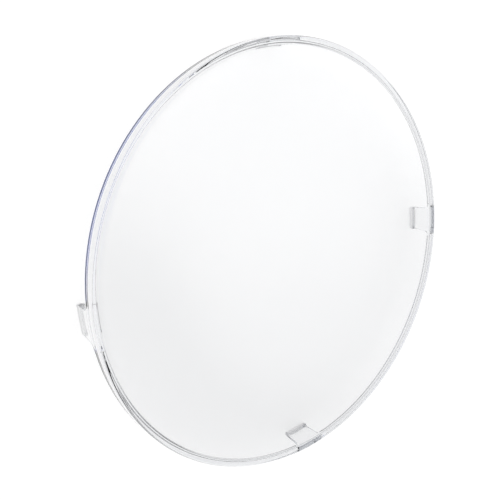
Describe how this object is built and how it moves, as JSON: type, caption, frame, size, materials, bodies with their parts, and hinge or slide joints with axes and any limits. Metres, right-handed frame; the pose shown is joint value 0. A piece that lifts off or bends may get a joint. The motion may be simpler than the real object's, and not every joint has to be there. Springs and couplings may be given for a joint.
{
  "type": "driving light lens cover",
  "caption": "Clear round clip-on lens cover for a driving light: flat face, short skirt and barbed clips on its rear edge.",
  "frame": {"origin": "on the cover's axis, in the plane of the clip tips that the cover lies on", "axes": "+Z along the cover's axis, out of its front face; +X and +Y each run through the middle of a clip"},
  "size_m": [0.2204, 0.2204, 0.0202],
  "materials": {
    "clear_plastic": "water-clear moulded polycarbonate, polished on both sides"
  },
  "bodies": {
    "root": {"lens_cover": "clear_plastic"}
  },
  "joints": []
}
